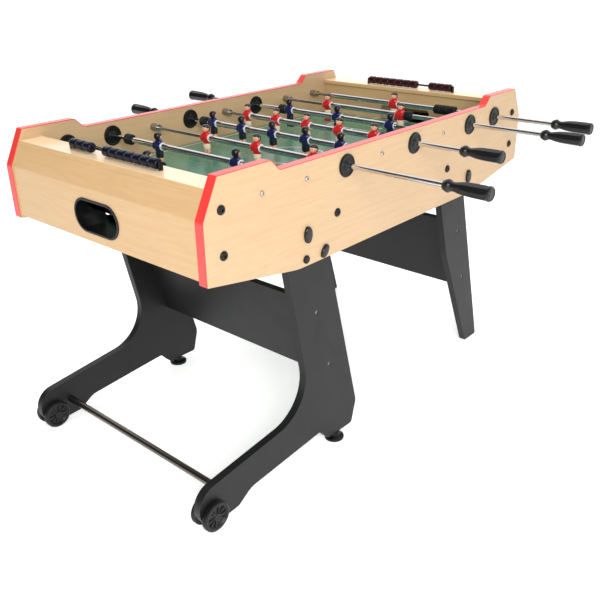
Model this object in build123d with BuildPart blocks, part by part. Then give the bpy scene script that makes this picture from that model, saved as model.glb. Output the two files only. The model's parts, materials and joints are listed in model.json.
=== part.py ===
"""Folding foosball table: a rod football cabinet on two leg frames that fold about pivots.

Every outline is worked out in cabinet coordinates: x along the pitch from the wheel end, y
across it towards the far side, and z up from the plane of the playing rods. The planes below
carry those coordinates into the row frame, whose origin is on the floor under the middle of
the object's bounding box.
"""
from build123d import *
import os
from math import atan2, degrees, hypot

# Driving dimensions, in millimetres.
ROD_HEIGHT = 810.0  # rod axes above the floor
ROD_PITCH = 148.0
HALF_INNER = 358.0  # cabinet centre to the inner face of a side panel
PANEL = 24.0  # side panel thickness
HALF_OUTER = HALF_INNER + PANEL
HALF_LENGTH = 692.5
KINK_Z = -23.0  # below this the cabinet's ends stand upright
END_TOP_X, END_TOP_Z = 646.5, 67.0
LOW_TOP_Z = 40.5  # the lowered stretch of the top edge, between the end boxes
STEP_LOW_X, STEP_HIGH_X = 459.0, 486.5
END_BOTTOM_Z, MIDDLE_BOTTOM_Z, BOTTOM_BREAK_X = -165.0, -215.0, 403.0
TRIM = 2.0  # thickness of the edge moulding

FIELD_Z, FIELD_THICK = -76.0, 9.0
GOAL_WALL_X, GOAL_WALL_THICK = 597.0, 15.0
GOAL_HALF_WIDTH, GOAL_TOP_Z = 100.0, -28.0
DECK_TOP_Z, DECK_THICK, DECK_INNER_X = 38.0, 12.0, 589.0
END_PANEL, END_PANEL_SLANT = 15.0, 16.8  # thickness, square and measured level on the slope
END_PANEL_INSET, END_PANEL_BOTTOM_Z = 3.5, -157.0
CUP_Z, CUP_WIDTH, CUP_HEIGHT = -92.0, 175.0, 86.0
CUP_FLANGE, CUP_WALL, CUP_PROUD, CUP_DEPTH = 4.0, 2.0, 3.0, 39.0
POST, POST_X, END_BOLT_X = 30.0, 631.5, 640.0  # corner posts inside the end boxes
BATTEN_X, BATTEN_WIDTH, BATTEN_HEIGHT = 257.0, 20.0, 50.0

TUBE_R, SHAFT_R, GUIDE_R = 8.0, 6.35, 4.5
RUNNING = 0.05  # radial clearance of a running fit
FREE = 0.2  # radial clearance that keeps a loose piece of the same sub-part apart
FACE_GAP = 0.4  # between flat faces that move past each other
FLANGE_R, FLANGE_THICK, BARREL_R = 29.0, 5.0, 13.0
SOCKET_R, SOCKET_LENGTH = 11.5, 28.0
GUIDE_HOLD = 30.0  # guide rod still inside its tube when the rod is pulled right out
BUMPER_R, BUMPER_LENGTH = 15.0, 26.0
HANDLE_LENGTH, HANDLE_SOCKET = 117.0, 88.0
SCREW_R, BOLT_R = 2.5, 3.0

RAIL_X, RAIL_R, RAIL_POST = 620.0, 3.0, 6.0
BEAD_R, BEAD_PITCH, BEAD_GAP = 12.5, 29.0, 0.4
BEADS_END_Y = 169.0
RAIL_Z = DECK_TOP_Z + BEAD_R + 1.0

LEG = 22.0  # leg plate thickness
LEFT_LEG_Y = HALF_INNER - 0.5  # outer face of a left leg plate
RIGHT_LEG_Y = LEFT_LEG_Y - LEG - 0.5  # the right frame nests inside the left one
LEFT_PIVOT, RIGHT_PIVOT = (-376.0, -197.0), (360.0, -198.0)
# Each lock knob is an oval: its place, its half length and its turn from upright.
LEFT_KNOBS = [(-370.0, -136.0, 21.0, 0.0), (-308.0, -195.0, 18.0, -35.0)]
RIGHT_KNOBS = [(383.0, -159.0, 20.0, 0.0)]
KNOB_SHAPE, KNOB_DEPTH = 0.62, 8.0
PIVOT_R, PIVOT_HEAD_R, KNOB_SHANK_R, SPACER_R = 5.0, 10.5, 4.0, 15.0
LEFT_BOARD, RIGHT_BOARD = [(-320.0, -335.0), (-248.0, -582.0)], [(422.0, -325.0), (498.0, -576.0)]
BOARD = 16.0  # thickness of the boards that tie each pair of leg plates together
BOARD_BOLT_INSET, BOARD_BOLT_DEPTH = 38.0, 40.0
CROSSBAR, CROSSBAR_R = (-650.0, -745.0), 9.5
WHEEL, WHEEL_R, WHEEL_WIDTH = (-706.0, 40.0 - ROD_HEIGHT), 40.0, 16.0
WHEEL_GAP, AXLE_R = 1.5, 4.0
LOBE_X, LOBE_TOP_Z, LOBE_BOTTOM_Z, LOBE_R = -747.0, -694.4, -803.0, 57.0
FOOT_X, FOOT_R, FOOT_PLATE_Z, STEM_R, STEM_TOP_Z = -222.0, 28.0, -787.0, 5.0, -757.0

# One line per rod, from the wheel end: the side its handle is on (-1 near, 1 far), how many
# men it carries and their spacing, and then distances towards the handle from the middle of
# the table: the middle man, the bumpers, the open end of the tube and the handle's collar.
RODS = [
    (1, 1, 0.0, 7.0, [183.0, 209.0, 235.0], -261.0, 484.0),
    (1, 2, 301.0, -2.5, [277.0], -175.0, 484.0),
    (-1, 3, 199.0, 79.0, [308.0], -140.0, 653.5),
    (1, 5, 124.5, 1.0, [289.0], -268.0, 524.0),
    (-1, 5, 124.5, 0.0, [285.0], -269.0, 526.0),
    (1, 3, 201.0, 0.0, [231.0], -222.0, 570.0),
    (-1, 2, 297.5, -11.5, [167.0], -180.0, 608.0),
    (-1, 1, 0.0, 9.0, [184.0, 210.0, 236.0], -262.0, 572.0),
]

# The wheels stand out past one end of the cabinet, and the handles reach further on the near
# side, so the row frame's origin isn't under the cabinet's own middle.
REACH_NEAR = max(rod[6] for rod in RODS if rod[0] < 0) + HANDLE_LENGTH
REACH_FAR = max(rod[6] for rod in RODS if rod[0] > 0) + HANDLE_LENGTH
CENTRE_X = (-LOBE_X - HALF_LENGTH) / 2
CENTRE_Y = (REACH_NEAR - REACH_FAR) / 2

END_BOLTS = [(x, z) for x in (-END_BOLT_X, END_BOLT_X) for z in (-6.0, -107.0)]
BATTEN_BOLTS = [(-BATTEN_X, -110.0), (BATTEN_X, -110.0)]


def upright(y):
    """Plane along the cabinet, seen from the near side; a positive extrude comes nearer."""
    return Plane(origin=(CENTRE_X, CENTRE_Y + y, ROD_HEIGHT), x_dir=(1, 0, 0), z_dir=(0, -1, 0))


def crosswise(x):
    """Plane across the cabinet, with local x along y; a positive extrude goes right."""
    return Plane(origin=(CENTRE_X + x, CENTRE_Y, ROD_HEIGHT), x_dir=(0, 1, 0), z_dir=(1, 0, 0))


def level(z):
    return Plane(origin=(CENTRE_X, CENTRE_Y, ROD_HEIGHT + z))


def across(x, z, side):
    """Profile plane of a turned piece on a line across the cabinet, running towards one side."""
    return Plane(origin=(CENTRE_X + x, CENTRE_Y, ROD_HEIGHT + z), x_dir=(0, side, 0), z_dir=(side, 0, 0))


def standing(x, y):
    """Profile plane of a turned piece on a vertical line, with local x up from the rod plane."""
    return Plane(origin=(CENTRE_X + x, CENTRE_Y + y, ROD_HEIGHT), x_dir=(0, 0, 1), z_dir=(0, -1, 0))


def rod_x(index):
    return ROD_PITCH * (index - (len(RODS) - 1) / 2)


def men_at(rod):
    """Distances of a rod's men from the middle of the table, towards its handle."""
    count, spacing, middle = rod[1:4]
    return [middle + spacing * (i - (count - 1) / 2) for i in range(count)]


def travel(rod):
    """How far a rod slides out, to its bumper, and in, to the guide's socket or the handle."""
    out = HALF_INNER - FLANGE_THICK - (rod[4][-1] + BUMPER_LENGTH / 2)
    to_socket = HALF_INNER - SOCKET_LENGTH + rod[5]
    to_handle = rod[6] - HALF_OUTER - FLANGE_THICK
    return out, min(to_socket, to_handle) - 1.0


def end_x(z):
    """Outer edge of a side panel at a height: upright below the kink, leaning in above it."""
    lean = (HALF_LENGTH - END_TOP_X) / (END_TOP_Z - KINK_Z)
    return HALF_LENGTH - max(0.0, z - KINK_Z) * lean


def face(plane, corners):
    """A closed outline from corners given as (x, y) or (x, y, corner radius)."""
    with BuildSketch(plane) as sketch:
        with BuildLine():
            points = [corner[:2] for corner in corners]
            radii = [corner[2] if len(corner) > 2 else 0.0 for corner in corners]
            FilletPolyline(*points, radius=radii, close=True)
        make_face()
    return sketch.sketch


def discs(plane, places, radius):
    with BuildSketch(plane) as sketch:
        with Locations(*places):
            Circle(radius)
    return sketch.sketch


def turned(plane, corners):
    """Add a solid turned about the plane's x axis from an outline of (along, radius) corners."""
    revolve(face(plane, corners), axis=Axis(plane.origin, plane.x_dir))


def ring(start, end, inner, outer, bevel=0.0):
    """Outline of a tube between two distances along its axis, with its outer edges rounded."""
    return [(start, inner), (start, outer, bevel), (end, outer, bevel), (end, inner)]


def save(piece, label):
    piece.part.label = label
    export_step(piece.part, f"parts/{label}.step")


# Cabinet


def side_profile(plane):
    half = [
        (BOTTOM_BREAK_X, MIDDLE_BOTTOM_Z, 300.0),
        (HALF_LENGTH, END_BOTTOM_Z, 4.0),
        (HALF_LENGTH, KINK_Z, 25.0),
        (END_TOP_X, END_TOP_Z, 4.0),
        (STEP_HIGH_X, END_TOP_Z, 14.0),
        (STEP_LOW_X, LOW_TOP_Z, 14.0),
    ]
    return face(plane, half + [(-x, z, r) for x, z, r in reversed(half)])


def trim_profile(plane):
    """The moulding's outline: the panel's outermost band, left off along the bottom edge."""
    flat = side_profile(Plane.XY)
    with BuildSketch(plane) as band:
        add(flat)
        offset(flat, amount=-TRIM, mode=Mode.SUBTRACT)
        with Locations((0, MIDDLE_BOTTOM_Z)):
            Rectangle(2 * (HALF_LENGTH - TRIM), 120.0, mode=Mode.SUBTRACT)
    return band.sketch


def side_panel(side):
    inner, depth = upright(side * HALF_INNER), -side * PANEL
    handles = [(rod_x(i), 0) for i, rod in enumerate(RODS) if rod[0] == side]
    guides = [(rod_x(i), 0) for i, rod in enumerate(RODS) if rod[0] != side]
    knobs = [knob[:2] for knob in LEFT_KNOBS + RIGHT_KNOBS]
    holes = [
        (handles, BARREL_R),
        (guides, SCREW_R),
        (END_BOLTS + BATTEN_BOLTS, BOLT_R),
        ([LEFT_PIVOT, RIGHT_PIVOT], PIVOT_R),
        (knobs, KNOB_SHANK_R),
    ]
    with BuildPart() as panel:
        extrude(side_profile(inner), amount=depth)
        extrude(trim_profile(inner), amount=depth, mode=Mode.SUBTRACT)
        for places, radius in holes:
            extrude(discs(inner, places, radius), amount=depth, mode=Mode.SUBTRACT)
    return panel


def edge_trim():
    with BuildPart() as trim:
        for side in (-1, 1):
            extrude(trim_profile(upright(side * HALF_INNER)), amount=-side * PANEL)
    return trim


def cup_outline(plane, inset):
    with BuildSketch(plane) as outline:
        with Locations((0, CUP_Z)):
            SlotOverall(CUP_WIDTH - 2 * inset, CUP_HEIGHT - 2 * inset)
    return outline.sketch


def end_panels():
    """Boards that follow the kinked ends just inside the moulding, each with a cup hole."""
    top = DECK_TOP_Z - DECK_THICK
    outer = HALF_LENGTH - END_PANEL_INSET
    top_outer = end_x(top) - END_PANEL_INSET
    with BuildPart() as panels:
        for end in (-1, 1):
            corners = [
                (end * outer, END_PANEL_BOTTOM_Z),
                (end * outer, KINK_Z, 22.0),
                (end * top_outer, top),
                (end * (top_outer - END_PANEL_SLANT), top),
                (end * (outer - END_PANEL), KINK_Z - 4.0, 8.0),
                (end * (outer - END_PANEL), END_PANEL_BOTTOM_Z),
            ]
            extrude(face(upright(0), corners), amount=HALF_INNER, both=True)
            cup_hole = cup_outline(crosswise(end * (outer - 2 * END_PANEL)), CUP_FLANGE)
            extrude(cup_hole, amount=end * 3 * END_PANEL, mode=Mode.SUBTRACT)
    return panels


def ball_cups():
    """A flanged sleeve in each end, whose lower half runs on inwards to the goal as a trough."""
    front = HALF_LENGTH - END_PANEL_INSET
    trough = front - GOAL_WALL_X - GOAL_WALL_THICK - 0.5
    with BuildPart() as cups:
        for end in (-1, 1):
            plane = crosswise(end * front)
            extrude(cup_outline(plane, 0.0), amount=end * CUP_PROUD)
            extrude(cup_outline(plane, CUP_FLANGE), amount=-end * trough)
            start = end * (front + CUP_PROUD)
            through = -end * (trough + CUP_PROUD)
            extrude(cup_outline(crosswise(start), CUP_FLANGE + CUP_WALL), amount=through, mode=Mode.SUBTRACT)
            with BuildSketch(crosswise(end * (front - CUP_DEPTH))) as open_top:
                with Locations((0, CUP_Z + CUP_HEIGHT / 2)):
                    Rectangle(CUP_WIDTH, CUP_HEIGHT)
            extrude(open_top.sketch, amount=-end * trough, mode=Mode.SUBTRACT)
    return cups


def goal_walls():
    with BuildPart() as walls:
        for end in (-1, 1):
            corners = [
                (-HALF_INNER, FIELD_Z),
                (-GOAL_HALF_WIDTH, FIELD_Z),
                (-GOAL_HALF_WIDTH, GOAL_TOP_Z, 12.0),
                (GOAL_HALF_WIDTH, GOAL_TOP_Z, 12.0),
                (GOAL_HALF_WIDTH, FIELD_Z),
                (HALF_INNER, FIELD_Z),
                (HALF_INNER, DECK_TOP_Z - DECK_THICK),
                (-HALF_INNER, DECK_TOP_Z - DECK_THICK),
            ]
            extrude(face(crosswise(end * GOAL_WALL_X), corners), amount=end * GOAL_WALL_THICK)
    return walls


def end_decks():
    under = DECK_TOP_Z - DECK_THICK
    with BuildPart() as decks:
        for end in (-1, 1):
            corners = [
                (end * DECK_INNER_X, under),
                (end * DECK_INNER_X, DECK_TOP_Z, 2.0),
                (end * (end_x(DECK_TOP_Z) - END_PANEL_INSET), DECK_TOP_Z),
                (end * (end_x(under) - END_PANEL_INSET), under),
            ]
            extrude(face(upright(0), corners), amount=HALF_INNER, both=True)
    return decks


def playfield():
    half_length = GOAL_WALL_X + GOAL_WALL_THICK
    with BuildPart() as field:
        with BuildSketch(level(FIELD_Z)):
            Rectangle(2 * half_length, 2 * HALF_INNER)
        extrude(amount=-FIELD_THICK)
    return field


def inner_battens():
    """Two battens under the playfield and a post in each corner, tapped for the panel bolts."""
    under_field, under_deck = FIELD_Z - FIELD_THICK, DECK_TOP_Z - DECK_THICK
    post_y = HALF_INNER - POST / 2
    with BuildPart() as battens:
        with BuildSketch(level(under_field)):
            with Locations((-BATTEN_X, 0), (BATTEN_X, 0)):
                Rectangle(BATTEN_WIDTH, 2 * HALF_INNER)
        extrude(amount=-BATTEN_HEIGHT)
        with BuildSketch(level(under_deck)) as posts:
            with Locations(*[(x, y) for x in (-POST_X, POST_X) for y in (-post_y, post_y)]):
                Rectangle(POST, POST)
        extrude(posts.sketch, amount=-150.0)
        for side in (-1, 1):
            holes = discs(upright(side * HALF_INNER), END_BOLTS + BATTEN_BOLTS, BOLT_R)
            extrude(holes, amount=side * 20.0, mode=Mode.SUBTRACT)
    return battens


def panel_bolts():
    """Domed bolts through the side panels into the posts and battens."""
    with BuildPart() as bolts:
        for side in (-1, 1):
            for x, z in END_BOLTS + BATTEN_BOLTS:
                corners = [
                    (HALF_INNER - 20.0, 0),
                    (HALF_INNER - 20.0, BOLT_R),
                    (HALF_OUTER, BOLT_R),
                    (HALF_OUTER, 11.0),
                    (HALF_OUTER + 2.0, 11.0, 1.5),
                    (HALF_OUTER + 5.0, 6.0, 4.0),
                    (HALF_OUTER + 5.0, 0),
                ]
                turned(across(x, z, side), corners)
    return bolts


# Rods


def rod_bearings():
    """Flanged bushes that carry each rod's shaft through the panel on its handle side."""
    bore = SHAFT_R + RUNNING
    with BuildPart() as bearings:
        for i, rod in enumerate(RODS):
            corners = [
                (HALF_INNER - FLANGE_THICK, bore),
                (HALF_INNER - FLANGE_THICK, FLANGE_R, 2.0),
                (HALF_INNER, FLANGE_R),
                (HALF_INNER, BARREL_R),
                (HALF_OUTER, BARREL_R),
                (HALF_OUTER, FLANGE_R),
                (HALF_OUTER + FLANGE_THICK, FLANGE_R, 2.0),
                (HALF_OUTER + FLANGE_THICK, bore),
            ]
            turned(across(rod_x(i), 0, rod[0]), corners)
    return bearings


def guide_rods():
    """A fixed rod in a socket on the far side from each handle; the tube slides over it."""
    with BuildPart() as guides:
        for i, rod in enumerate(RODS):
            tip = rod[5] + travel(rod)[0] + GUIDE_HOLD
            corners = [
                (-HALF_INNER, 0),
                (-HALF_INNER, SOCKET_R),
                (SOCKET_LENGTH - HALF_INNER, SOCKET_R, 1.5),
                (SOCKET_LENGTH - HALF_INNER, GUIDE_R),
                (tip, GUIDE_R, 1.0),
                (tip, 0),
            ]
            turned(across(rod_x(i), 0, rod[0]), corners)
    return guides


def guide_screws():
    """Pan head screws, from outside the panel, that hold the guide rods' sockets."""
    with BuildPart() as screws:
        for i, rod in enumerate(RODS):
            corners = [
                (HALF_INNER, 0),
                (HALF_INNER, SCREW_R),
                (HALF_OUTER, SCREW_R),
                (HALF_OUTER, 6.5),
                (HALF_OUTER + 4.0, 6.5, 2.5),
                (HALF_OUTER + 4.0, 0),
            ]
            turned(across(rod_x(i), 0, -rod[0]), corners)
    return screws


def rod_tube(index, rod):
    """Hollow rod: open towards the guide rod, and stepped down to pass through the bearing."""
    bore = GUIDE_R + RUNNING
    shoulder = rod[4][-1] + BUMPER_LENGTH / 2 - 2.0
    end = rod[6] + HANDLE_SOCKET
    bore_end = rod[5] + sum(travel(rod)) + GUIDE_HOLD + 5.0
    with BuildPart() as tube:
        corners = [
            (rod[5], bore),
            (rod[5], TUBE_R, 0.8),
            (shoulder, TUBE_R, 0.8),
            (shoulder, SHAFT_R),
            (end, SHAFT_R),
            (end, 0),
            (bore_end, 0),
            (bore_end, bore),
        ]
        turned(across(rod_x(index), 0, rod[0]), corners)
    return tube


def rod_bumpers(index, rod):
    """Ribbed rubber rings that slide with the rod but don't turn with it."""
    bore = TUBE_R + RUNNING
    half = BUMPER_LENGTH / 2 - BEAD_GAP / 2
    with BuildPart() as bumpers:
        for centre in rod[4]:
            corners = [
                (centre - half, bore),
                (centre - half, BUMPER_R, 3.0),
                (centre - 3.0, BUMPER_R, 1.0),
                (centre, BUMPER_R - 2.5, 1.0),
                (centre + 3.0, BUMPER_R, 1.0),
                (centre + half, BUMPER_R, 3.0),
                (centre + half, bore),
            ]
            turned(across(rod_x(index), 0, rod[0]), corners)
    return bumpers


def rod_handle(index, rod):
    """Turned grip: a cone-shaped collar, a waist and a swell to a flat end, over the shaft."""
    start = rod[6]
    with BuildPart() as handle:
        corners = [
            (start, SHAFT_R),
            (start, 11.0, 2.0),
            (start + 12.0, 15.5, 4.0),
            (start + 22.0, 10.5, 6.0),
            (start + 54.0, 15.5, 50.0),
            (start + HANDLE_LENGTH, 17.0, 3.0),
            (start + HANDLE_LENGTH, 0),
            (start + HANDLE_SOCKET, 0),
            (start + HANDLE_SOCKET, SHAFT_R),
        ]
        turned(across(rod_x(index), 0, rod[0]), corners)
    return handle


HUB_R, HUB_LENGTH = 13.0, 33.0
HEAD_R, HEAD_Z = 10.5, 26.5


def rod_men(index, rod):
    """The men on one rod: hub, head, and a body that narrows to legs and a kicking foot.

    Men on near-handle rods face the wheel end, and men on far-handle rods face away from it.
    """
    facing = rod[0]
    x = rod_x(index)
    body = [
        (x - facing * 9.0, 19.0, 4.0),
        (x - facing * 9.5, -16.0, 3.0),
        (x - facing * 6.0, -45.0, 2.0),
        (x - facing * 7.0, -54.0, 1.0),
        (x + facing * 14.0, -54.0, 1.5),
        (x + facing * 11.0, -45.0, 3.0),
        (x + facing * 6.0, -42.0, 3.0),
        (x + facing * 9.5, -16.0, 3.0),
        (x + facing * 9.0, 19.0, 4.0),
    ]
    with BuildPart() as men:
        for s in men_at(rod):
            y = rod[0] * s
            extrude(face(upright(y), body), amount=HUB_LENGTH * 0.42, both=True)
            turned(across(x, 0, 1), ring(y - HUB_LENGTH / 2, y + HUB_LENGTH / 2, TUBE_R, HUB_R, 2.0))
            with Locations((CENTRE_X + x, CENTRE_Y + y, ROD_HEIGHT + HEAD_Z)):
                Sphere(HEAD_R)
        reach = 2 * HALF_INNER
        extrude(discs(upright(-HALF_INNER), [(x, 0)], TUBE_R), amount=-reach, mode=Mode.SUBTRACT)
    return men


# Scorers


def scorer_rails():
    """A rail above each deck, held by a post at each end of its row of beads."""
    post_y = BEADS_END_Y + BEAD_GAP + RAIL_POST / 2
    with BuildPart() as rails:
        for end in (-1, 1):
            turned(across(end * RAIL_X, RAIL_Z, 1), ring(-post_y, post_y, 0, RAIL_R))
        with BuildSketch(level(DECK_TOP_Z)) as posts:
            with Locations(*[(x, y) for x in (-RAIL_X, RAIL_X) for y in (-post_y, post_y)]):
                RectangleRounded(2 * RAIL_POST, RAIL_POST, 2.5)
        extrude(posts.sketch, amount=RAIL_Z - DECK_TOP_Z + RAIL_POST)
    return rails


def scorer_beads(end, side, count):
    """One row of beads, pushed up against the post on its side of the table."""
    half = (BEAD_PITCH - BEAD_GAP) / 2
    with BuildPart() as beads:
        for i in range(count):
            s = BEADS_END_Y - BEAD_PITCH * (i + 0.5)
            outline = ring(s - half, s + half, RAIL_R + RUNNING, BEAD_R, 4.0)
            turned(across(end * RAIL_X, RAIL_Z, side), outline)
    return beads


# Legs


def board_bolts(board):
    """Where the bolts through the leg plates enter the ends of a cross board."""
    (x0, z0), (x1, z1) = board
    share = BOARD_BOLT_INSET / hypot(x1 - x0, z1 - z0)
    return [(x0 + (x1 - x0) * t, z0 + (z1 - z0) * t) for t in (share, 1 - share)]


def leg_plates(outline, outer_y, board, bores):
    """A near and a far leg plate, with the given bores and recesses for the board's bolts."""
    with BuildPart() as plates:
        for side in (-1, 1):
            plane, depth = upright(side * outer_y), side * LEG
            extrude(face(plane, outline), amount=depth)
            extrude(discs(plane, board_bolts(board), BOLT_R), amount=depth, mode=Mode.SUBTRACT)
            extrude(discs(plane, board_bolts(board), 2 * BOLT_R), amount=side * 5.0, mode=Mode.SUBTRACT)
            for place, radius in bores:
                extrude(discs(plane, [place], radius), amount=depth, mode=Mode.SUBTRACT)
    return plates


def left_legs():
    """The wheeled leg plates: an upright with a low beam that runs out to the wheel lobe."""
    outline = [
        (-290.0, -108.0, 40.0),
        (-135.5, -718.0, 40.0),
        (-155.0, -788.0, 8.0),
        (-262.0, FOOT_PLATE_Z, 10.0),
        (-297.0, -748.0, 14.0),
        (-573.0, -769.0, 60.0),
        (-620.0, -799.0, 20.0),
        (LOBE_X, LOBE_BOTTOM_Z, LOBE_R - 2.0),
        (LOBE_X, LOBE_TOP_Z, LOBE_R - 2.0),
        (-333.0, -647.0, 119.0),
        (-439.0, -108.0, 60.0),
    ]
    bores = [(LEFT_PIVOT, PIVOT_R + RUNNING), (WHEEL, AXLE_R + RUNNING)]
    plates = leg_plates(outline, LEFT_LEG_Y, LEFT_BOARD, bores)
    middle_y = LEFT_LEG_Y - LEG / 2
    with BuildPart() as legs:
        add(plates.part)
        stems = discs(level(STEM_TOP_Z), [(FOOT_X, -middle_y), (FOOT_X, middle_y)], STEM_R)
        extrude(stems, amount=FOOT_PLATE_Z - STEM_TOP_Z - 5.0, mode=Mode.SUBTRACT)
    return legs


def right_legs():
    outline = [
        (286.0, -138.0, 30.0),
        (370.0, -425.0, 300.0),
        (546.0, -ROD_HEIGHT, 5.0),
        (620.0, -ROD_HEIGHT, 5.0),
        (423.0, -138.0, 30.0),
    ]
    return leg_plates(outline, RIGHT_LEG_Y, RIGHT_BOARD, [(RIGHT_PIVOT, PIVOT_R + RUNNING)])


def cross_panel(board, half_width):
    """The board between two leg plates, with the flush bolts that hold it."""
    (x0, z0), (x1, z1) = board
    slope = degrees(atan2(z1 - z0, x1 - x0))
    middle = ((x0 + x1) / 2, (z0 + z1) / 2)
    with BuildPart() as panel:
        with BuildSketch(upright(0)):
            with Locations(Location(middle, slope)):
                Rectangle(hypot(x1 - x0, z1 - z0), BOARD)
        extrude(amount=half_width, both=True)
        for side in (-1, 1):
            holes = discs(upright(side * half_width), board_bolts(board), BOLT_R + FREE)
            extrude(holes, amount=side * (BOARD_BOLT_DEPTH + FREE), mode=Mode.SUBTRACT)
            for x, z in board_bolts(board):
                bolt = [
                    (half_width - BOARD_BOLT_DEPTH, 0),
                    (half_width - BOARD_BOLT_DEPTH, BOLT_R),
                    (half_width + LEG - 5.0, BOLT_R),
                    (half_width + LEG - 5.0, 2 * BOLT_R),
                    (half_width + LEG - 1.5, 2 * BOLT_R),
                    (half_width + LEG - 1.5, 0),
                ]
                turned(across(x, z, side), bolt)
    return panel


def left_crossbar():
    reach = LEFT_LEG_Y - LEG
    with BuildPart() as bar:
        turned(across(*CROSSBAR, 1), ring(-reach, reach, 0, CROSSBAR_R))
    return bar


def left_feet():
    """Screw levelers under the uprights of the wheeled legs."""
    with BuildPart() as feet:
        for side in (-1, 1):
            corners = [
                (-ROD_HEIGHT, 0),
                (-ROD_HEIGHT, FOOT_R, 1.5),
                (-ROD_HEIGHT + 8.0, FOOT_R, 2.0),
                (-ROD_HEIGHT + 13.0, 15.0, 2.0),
                (FOOT_PLATE_Z - 1.0, 14.0),
                (FOOT_PLATE_Z - 1.0, STEM_R),
                (STEM_TOP_Z, STEM_R),
                (STEM_TOP_Z, 0),
            ]
            turned(standing(FOOT_X, side * (LEFT_LEG_Y - LEG / 2)), corners)
    return feet


def leg_wheels(side):
    """Twin wheels on one axle, one each side of a leg plate."""
    outer = LEFT_LEG_Y + WHEEL_GAP
    inner = LEFT_LEG_Y - LEG - WHEEL_GAP - WHEEL_WIDTH
    plane = across(*WHEEL, side)
    with BuildPart() as wheels:
        for start, open_end in ((outer, outer + WHEEL_WIDTH), (inner, inner)):
            dish = 4.0 if open_end == start else -4.0
            turned(plane, ring(start, start + WHEEL_WIDTH, AXLE_R + FREE, WHEEL_R, 4.0))
            recess = ring(open_end, open_end + dish, 14.0, 30.0)
            revolve(face(plane, recess), axis=Axis(plane.origin, plane.x_dir), mode=Mode.SUBTRACT)
        turned(plane, ring(inner, outer + WHEEL_WIDTH, 0, AXLE_R))
    return wheels


def leg_pivots():
    """Pivot bolts through the side panels, and the spacers behind the narrower right frame."""
    frames = [(LEFT_PIVOT, LEFT_LEG_Y), (RIGHT_PIVOT, RIGHT_LEG_Y)]
    spacer = ring(RIGHT_LEG_Y + FACE_GAP, HALF_INNER, PIVOT_R + FREE, SPACER_R, 1.0)
    with BuildPart() as pivots:
        for side in (-1, 1):
            for (x, z), plate_y in frames:
                nut_y = plate_y - LEG - FACE_GAP
                corners = [
                    (nut_y - 6.0, 0),
                    (nut_y - 6.0, 9.0, 1.0),
                    (nut_y, 9.0, 1.0),
                    (nut_y, PIVOT_R),
                    (HALF_OUTER, PIVOT_R),
                    (HALF_OUTER, PIVOT_HEAD_R),
                    (HALF_OUTER + 5.0, PIVOT_HEAD_R, 3.0),
                    (HALF_OUTER + 5.0, 0),
                ]
                turned(across(x, z, side), corners)
            turned(across(*RIGHT_PIVOT, side), spacer)
            turned(across(*RIGHT_KNOBS[0][:2], side), spacer)
    return pivots


def leg_knobs():
    """Oval lock knobs on the side panels, whose shanks end at the inner face when drawn back."""
    with BuildPart() as knobs:
        for side in (-1, 1):
            for x, z, half, turn in LEFT_KNOBS + RIGHT_KNOBS:
                turned(across(x, z, side), ring(HALF_INNER, HALF_OUTER + 1.0, 0, KNOB_SHANK_R))
                with BuildSketch(upright(side * HALF_OUTER)):
                    with Locations(Location((x, z), turn)):
                        Ellipse(KNOB_SHAPE * half, half)
                extrude(amount=-side * KNOB_DEPTH)
            outer = knobs.faces().sort_by(Axis.Y)[:: -side][: len(LEFT_KNOBS + RIGHT_KNOBS)]
            fillet(ShapeList(outer).edges(), 4.0)
    return knobs


os.makedirs("parts", exist_ok=True)

save(side_panel(-1), "side_panel_near")
save(side_panel(1), "side_panel_far")
save(edge_trim(), "edge_trim")
save(end_panels(), "end_panels")
save(end_decks(), "end_decks")
save(goal_walls(), "goal_walls")
save(ball_cups(), "ball_cups")
save(playfield(), "playfield")
save(inner_battens(), "inner_battens")
save(panel_bolts(), "panel_bolts")

save(rod_bearings(), "rod_bearings")
save(guide_rods(), "guide_rods")
save(guide_screws(), "guide_screws")
for number, row in enumerate(RODS):
    save(rod_tube(number, row), f"rod_{number + 1}_tube")
    save(rod_men(number, row), f"rod_{number + 1}_men")
    save(rod_bumpers(number, row), f"rod_{number + 1}_bumpers")
    save(rod_handle(number, row), f"rod_{number + 1}_handle")

save(scorer_rails(), "scorer_rails")
save(scorer_beads(-1, 1, 3), "left_beads_far")
save(scorer_beads(-1, -1, 7), "left_beads_near")
save(scorer_beads(1, 1, 7), "right_beads_far")
save(scorer_beads(1, -1, 3), "right_beads_near")

save(left_legs(), "left_legs")
save(cross_panel(LEFT_BOARD, LEFT_LEG_Y - LEG), "left_cross_panel")
save(left_crossbar(), "left_crossbar")
save(left_feet(), "left_feet")
save(leg_wheels(-1), "wheels_near")
save(leg_wheels(1), "wheels_far")
save(right_legs(), "right_legs")
save(cross_panel(RIGHT_BOARD, RIGHT_LEG_Y - LEG), "right_cross_panel")
save(leg_pivots(), "leg_pivots")
save(leg_knobs(), "leg_knobs")
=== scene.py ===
# %% [markdown]
# # A folding foosball table
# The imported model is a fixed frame: every node already stands where the real piece stands.
# This lesson gives each visible piece its finish and swaps the plainest ones for detailed
# pieces. Everything is in metres, in the frame's own coordinates.

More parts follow.
